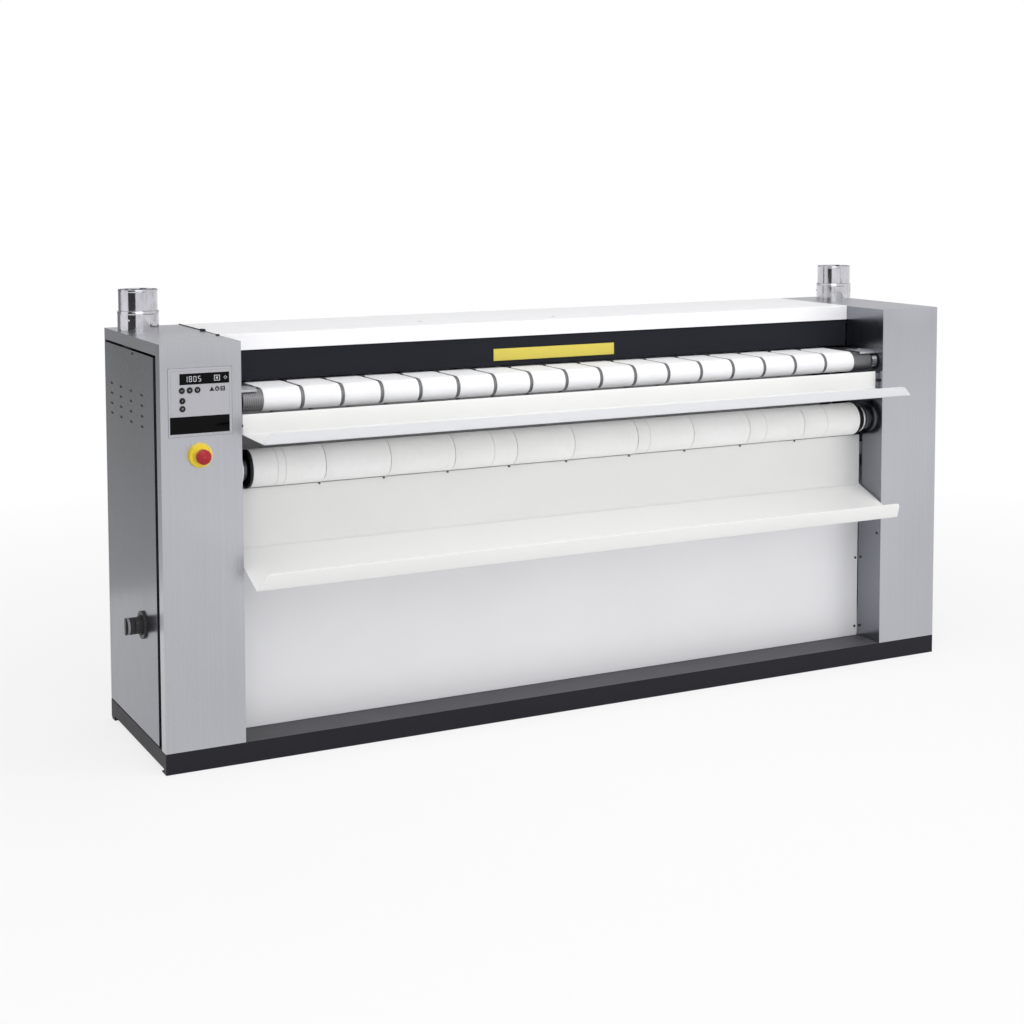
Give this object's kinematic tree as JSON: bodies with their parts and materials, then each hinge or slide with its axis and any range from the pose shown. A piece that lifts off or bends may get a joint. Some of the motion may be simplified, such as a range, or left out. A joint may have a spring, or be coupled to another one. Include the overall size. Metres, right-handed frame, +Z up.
{
  "type": "flatwork ironer",
  "caption": "Wall-type flatwork ironer: narrow feed belts run linen under a hand guard round a heated cylinder, and wide belts return it to a front chute.",
  "frame": {"origin": "on the floor, at the centre of the box round the whole machine, with its main switch and feed trough", "axes": "+X along the rollers to the operator's right, +Y from the operator's side to the back, +Z up"},
  "size_m": [2.63, 0.7091, 1.255],
  "materials": {
    "black_paint": "semi-gloss black powder coat",
    "guard_paint": "satin black paint",
    "disc_paint": "black paint",
    "white_paint": "white powder coat",
    "warm_white_paint": "warm white powder coat",
    "motor_paint": "grey paint",
    "bearing_housing": "cast",
    "brushed_stainless": "vertical grain",
    "cover_stainless": "vertical grain",
    "wall_steel": "fine grain",
    "frame_steel": "mill finish",
    "bed_steel": "mill finish",
    "roller_steel": "turned",
    "bearing_steel": "turned",
    "polished_cylinder": "polished",
    "cup_chrome": "polished",
    "element_metal": "heat tinted",
    "pulley_metal": "turned",
    "impeller_metal": "pressed",
    "galvanised_steel": "galvanised",
    "exhaust_galvanised": "galvanised",
    "sleeve_galvanised": "galvanised",
    "feed_belt_fabric": "smooth woven",
    "ironing_belt_fabric": "needled felt",
    "belt_rubber": "toothed",
    "panel_foil": "printed foil",
    "display_black": "smoked",
    "key_black": "moulded",
    "estop_yellow": "moulded",
    "estop_red": "moulded",
    "switch_black": "moulded",
    "handle_black": "moulded",
    "device_plastic": "moulded",
    "screw_black": "blackened"
  },
  "bodies": {
    "machine": {"base_frame": "black_paint", "left_side_plate": "wall_steel", "right_side_plate": "wall_steel", "cross_beams": "frame_steel", "left_housing": "brushed_stainless", "right_housing": "brushed_stainless", "left_side_cover": "cover_stainless", "right_side_cover": "cover_stainless", "rear_panel": "white_paint", "top_cover": "white_paint", "roller_bearings": "bearing_steel", "return_roller_bearings": "cup_chrome", "cylinder_bearings": "bearing_housing", "heater_carrier": "frame_steel", "heating_elements": "element_metal", "feed_belts": "feed_belt_fabric", "ironing_belts": "ironing_belt_fabric", "feed_bed_plate": "bed_steel", "belt_end_brackets": "bed_steel", "feed_trough": "warm_white_paint", "trough_brackets": "bed_steel", "chute": "warm_white_paint", "lower_front_panel": "white_paint", "cover_screws": "screw_black", "gear_motor": "motor_paint", "drive_belt": "belt_rubber", "feed_drive_belt": "belt_rubber", "fan_housings": "galvanised_steel", "fan_motors": "motor_paint", "exhaust_tubes": "exhaust_galvanised", "exhaust_sleeves": "sleeve_galvanised", "control_panel": "panel_foil", "display_window": "display_black", "estop_base": "estop_yellow", "main_switch_base": "switch_black", "electrical_panel": "galvanised_steel", "main_isolator": "device_plastic", "electrical_devices": "device_plastic"},
    "cylinder": {"heated_cylinder": "polished_cylinder", "cylinder_flanges": "frame_steel", "cylinder_pulleys": "pulley_metal"},
    "front_feed_roller": {"feed_roller": "roller_steel", "feed_roller_pulley": "pulley_metal"},
    "rear_feed": {"rear_feed_roller": "roller_steel"},
    "return_roller": {"return_roller": "roller_steel", "return_roller_discs": "disc_paint"},
    "nip_roller": {"nip_roller": "roller_steel"},
    "lower_rear_roller": {"lower_rear_roller": "roller_steel"},
    "tension_roller": {"tension_roller": "roller_steel"},
    "motor_shaft": {"motor_pulley": "pulley_metal"},
    "left_fan": {"left_impeller": "impeller_metal"},
    "right_fan": {"right_impeller": "impeller_metal"},
    "hand_guard": {"hand_guard": "guard_paint"},
    "estop_button": {"estop_button": "estop_red"},
    "main_switch_handle": {"main_switch_handle": "handle_black"},
    "left_key": {"left_key": "key_black"},
    "middle_key": {"middle_key": "key_black"},
    "right_key": {"right_key": "key_black"},
    "upper_button": {"upper_button": "key_black"},
    "lower_button": {"lower_button": "key_black"}
  },
  "joints": [
    {"name": "cylinder_turn", "type": "hinge", "parent": "machine", "child": "cylinder", "pos_m": [0.025, 0.16, 0.86], "axis": [1, 0, 0], "continuous": true},
    {"name": "feed_roller_turn", "type": "hinge", "parent": "machine", "child": "front_feed_roller", "pos_m": [0.025, -0.139, 0.972], "axis": [1, 0, 0], "continuous": true},
    {"name": "rear_feed_roller_turn", "type": "hinge", "parent": "machine", "child": "rear_feed", "pos_m": [0.025, 0.027, 0.98], "axis": [1, 0, 0], "continuous": true},
    {"name": "return_roller_turn", "type": "hinge", "parent": "machine", "child": "return_roller", "pos_m": [0.025, -0.103, 0.78], "axis": [1, 0, 0], "continuous": true},
    {"name": "nip_roller_turn", "type": "hinge", "parent": "machine", "child": "nip_roller", "pos_m": [0.025, 0.125, 1.03452], "axis": [1, 0, 0], "continuous": true},
    {"name": "lower_rear_roller_turn", "type": "hinge", "parent": "machine", "child": "lower_rear_roller", "pos_m": [0.025, 0.31, 0.692], "axis": [1, 0, 0], "continuous": true},
    {"name": "tension_roller_turn", "type": "hinge", "parent": "machine", "child": "tension_roller", "pos_m": [0.025, 0.31, 1.03], "axis": [1, 0, 0], "continuous": true},
    {"name": "motor_turn", "type": "hinge", "parent": "machine", "child": "motor_shaft", "pos_m": [0.025, 0.095, 0.42], "axis": [1, 0, 0], "continuous": true},
    {"name": "left_fan_turn", "type": "hinge", "parent": "machine", "child": "left_fan", "pos_m": [0.025, 0.25, 1.03], "axis": [1, 0, 0], "continuous": true},
    {"name": "right_fan_turn", "type": "hinge", "parent": "machine", "child": "right_fan", "pos_m": [0.025, 0.25, 1.03], "axis": [1, 0, 0], "continuous": true},
    {"name": "hand_guard_swing", "type": "hinge", "parent": "machine", "child": "hand_guard", "pos_m": [0.025, -0.013, 1.086], "axis": [1, 0, 0], "range_deg": [0, 12], "stiffness_Nm_per_rad": 2, "springref_deg": -5.73},
    {"name": "estop_press", "type": "slide", "parent": "machine", "child": "estop_button", "axis": [0, 1, 0], "range_m": [0, 0.004], "stiffness_N_per_m": 1500},
    {"name": "main_switch_turn", "type": "hinge", "parent": "machine", "child": "main_switch_handle", "pos_m": [-1.265, -0.003, 0.358], "axis": [-1, 0, 0], "range_deg": [0, 90]},
    {"name": "left_key_press", "type": "slide", "parent": "machine", "child": "left_key", "axis": [0, 1, 0], "range_m": [0, 0.001], "stiffness_N_per_m": 1500},
    {"name": "middle_key_press", "type": "slide", "parent": "machine", "child": "middle_key", "axis": [0, 1, 0], "range_m": [0, 0.001], "stiffness_N_per_m": 1500},
    {"name": "right_key_press", "type": "slide", "parent": "machine", "child": "right_key", "axis": [0, 1, 0], "range_m": [0, 0.001], "stiffness_N_per_m": 1500},
    {"name": "upper_button_press", "type": "slide", "parent": "machine", "child": "upper_button", "axis": [0, 1, 0], "range_m": [0, 0.001], "stiffness_N_per_m": 1500},
    {"name": "lower_button_press", "type": "slide", "parent": "machine", "child": "lower_button", "axis": [0, 1, 0], "range_m": [0, 0.001], "stiffness_N_per_m": 1500}
  ],
  "couplings": [
    {"joint": "feed_roller_turn", "follows": "cylinder_turn", "ratio": 5},
    {"joint": "rear_feed_roller_turn", "follows": "cylinder_turn", "ratio": 6.8182},
    {"joint": "return_roller_turn", "follows": "cylinder_turn", "ratio": -3},
    {"joint": "nip_roller_turn", "follows": "cylinder_turn", "ratio": -6},
    {"joint": "lower_rear_roller_turn", "follows": "cylinder_turn", "ratio": -7.5},
    {"joint": "tension_roller_turn", "follows": "cylinder_turn", "ratio": -7.5},
    {"joint": "motor_turn", "follows": "cylinder_turn", "ratio": 2.75}
  ]
}
